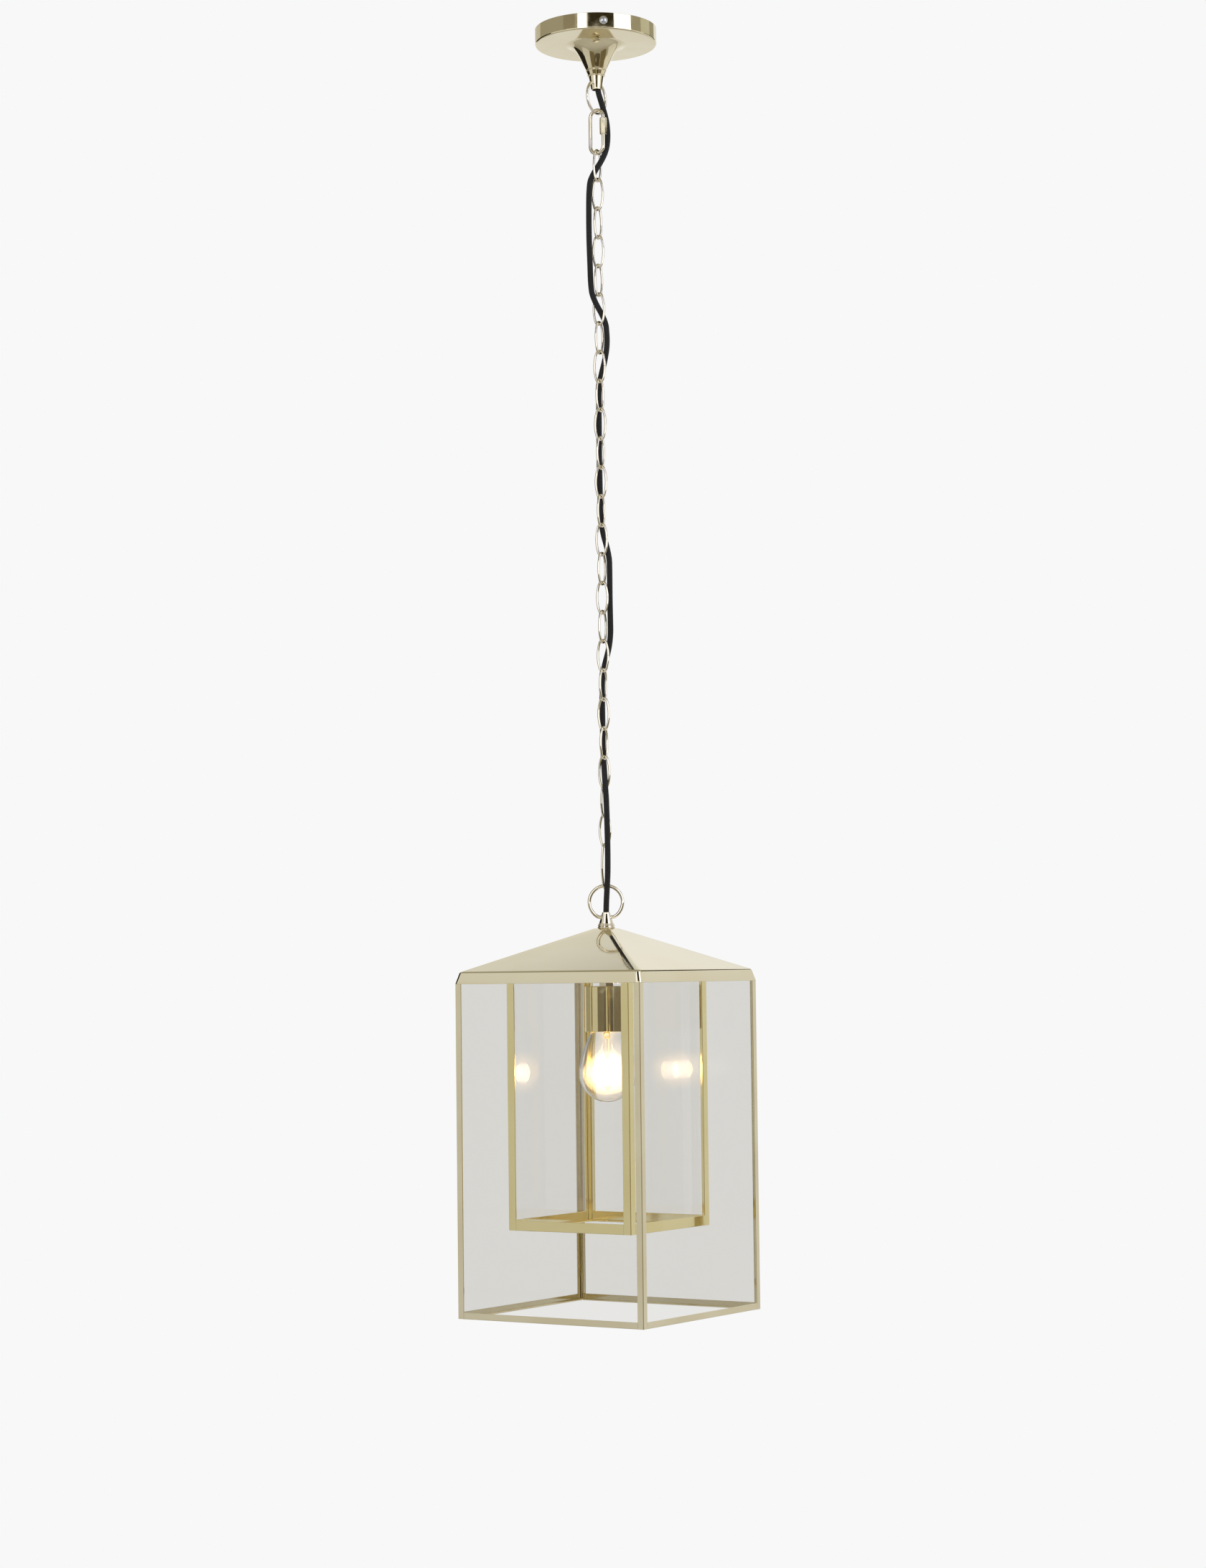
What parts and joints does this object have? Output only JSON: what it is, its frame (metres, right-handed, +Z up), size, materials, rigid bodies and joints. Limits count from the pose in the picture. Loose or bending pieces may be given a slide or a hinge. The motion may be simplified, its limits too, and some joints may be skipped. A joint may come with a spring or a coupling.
{
  "type": "hanging lantern",
  "caption": "Square brass lantern with an inner and an outer glazed frame, hung from a ceiling rose by a chain with a braided cord threaded through its links.",
  "frame": {"origin": "centre of the rose's ceiling face", "axes": "+Z up towards the ceiling; the lantern's faces look along X and Y"},
  "size_m": [0.2406, 0.2406, 1.4179],
  "materials": {
    "brass": "polished",
    "contact_brass": "bright",
    "zinc_steel": "zinc plated",
    "glass": "clear",
    "bulb_glass": "clear",
    "filament": "glowing",
    "cap_tip": "glassy",
    "ceramic": "glazed",
    "block_plastic": "moulded",
    "grip_plastic": "moulded",
    "lead_plastic": "sheathed",
    "cord_fabric": "braided"
  },
  "bodies": {
    "ceiling": {"ceiling_bracket": "zinc_steel", "ceiling_rose": "brass", "rose_screws": "zinc_steel", "terminal_block": "block_plastic", "supply_leads": "lead_plastic", "trumpet": "brass", "trumpet_nut": "zinc_steel", "cord_grip": "grip_plastic", "cord_1": "cord_fabric"},
    "top_ring": {"top_ring": "brass", "cord_2": "cord_fabric"},
    "quick_link": {"quick_link": "brass", "cord_3": "cord_fabric"},
    "sleeve": {"quick_link_sleeve": "brass"},
    "chain_1": {"chain_1": "brass", "cord_4": "cord_fabric"},
    "chain_2": {"chain_2": "brass", "cord_5": "cord_fabric"},
    "chain_3": {"chain_3": "brass", "cord_6": "cord_fabric"},
    "chain_4": {"chain_4": "brass", "cord_7": "cord_fabric"},
    "chain_5": {"chain_5": "brass", "end_link": "brass", "cord_8": "cord_fabric"},
    "hanging_ring": {"hanging_ring": "brass", "cord_9": "cord_fabric"},
    "lantern": {"finial": "brass", "threaded_tube": "zinc_steel", "roof_nut": "zinc_steel", "tube_nuts": "zinc_steel", "roof": "brass", "ceiling_plate": "brass", "outer_post_back_right": "brass", "outer_post_back_left": "brass", "outer_post_front_left": "brass", "outer_post_front_right": "brass", "outer_bottom_rails": "brass", "outer_pane_back": "glass", "outer_pane_left": "glass", "outer_pane_front": "glass", "outer_pane_right": "glass", "inner_post_back_right": "brass", "inner_post_back_left": "brass", "inner_post_front_left": "brass", "inner_post_front_right": "brass", "inner_bottom_rails": "brass", "inner_pane_back": "glass", "inner_pane_left": "glass", "inner_pane_front": "glass", "inner_pane_right": "glass", "lampholder_cup": "brass", "lampholder_insert": "ceramic", "lampholder_contacts": "contact_brass", "lamp_leads": "lead_plastic"},
    "bulb": {"bulb_glass": "bulb_glass", "bulb_cap": "contact_brass", "bulb_cap_tip": "cap_tip", "bulb_capsule": "bulb_glass", "bulb_filament": "filament"}
  },
  "joints": [
    {"name": "top_ring_swing", "type": "hinge", "parent": "ceiling", "child": "top_ring", "pos_m": [0, 0, -0.061], "axis": [0, 1, 0], "range_deg": [-20, 20], "deforming": ["cord_1"]},
    {"name": "quick_link_swing", "type": "hinge", "parent": "top_ring", "child": "quick_link", "pos_m": [0, 0, -0.09473], "axis": [1, 0, 0], "range_deg": [-18, 18], "deforming": ["cord_2"]},
    {"name": "chain_1_swing", "type": "hinge", "parent": "quick_link", "child": "chain_1", "pos_m": [0, 0, -0.13942], "axis": [0, 1, 0], "range_deg": [-15, 15], "deforming": ["cord_3"]},
    {"name": "chain_2_swing", "type": "hinge", "parent": "chain_1", "child": "chain_2", "pos_m": [0, 0, -0.29923], "axis": [1, 0, 0], "range_deg": [-15, 15], "deforming": ["cord_4"]},
    {"name": "chain_3_swing", "type": "hinge", "parent": "chain_2", "child": "chain_3", "pos_m": [0, 0, -0.45972], "axis": [0, 1, 0], "range_deg": [-15, 15], "deforming": ["cord_5"]},
    {"name": "chain_4_swing", "type": "hinge", "parent": "chain_3", "child": "chain_4", "pos_m": [0, 0, -0.62023], "axis": [1, 0, 0], "range_deg": [-15, 15], "deforming": ["cord_6"]},
    {"name": "chain_5_swing", "type": "hinge", "parent": "chain_4", "child": "chain_5", "pos_m": [0, 0, -0.78073], "axis": [0, 1, 0], "range_deg": [-15, 15], "deforming": ["cord_7"]},
    {"name": "hanging_ring_swing", "type": "hinge", "parent": "chain_5", "child": "hanging_ring", "pos_m": [0, 0, -0.95542], "axis": [0, 1, 0], "range_deg": [-12, 12], "deforming": ["cord_8"]},
    {"name": "lantern_swing", "type": "hinge", "parent": "hanging_ring", "child": "lantern", "pos_m": [0, 0, -0.98635], "axis": [0.8354, 0.5496, 0], "range_deg": [-20, 20], "deforming": ["cord_9"]},
    {"name": "sleeve_travel", "type": "slide", "parent": "quick_link", "child": "sleeve", "axis": [0, 0, -1], "range_m": [0, 0.008]},
    {"name": "bulb_removal", "type": "slide", "parent": "lantern", "child": "bulb", "axis": [0, 0, -1], "range_m": [0, 0.03]}
  ]
}
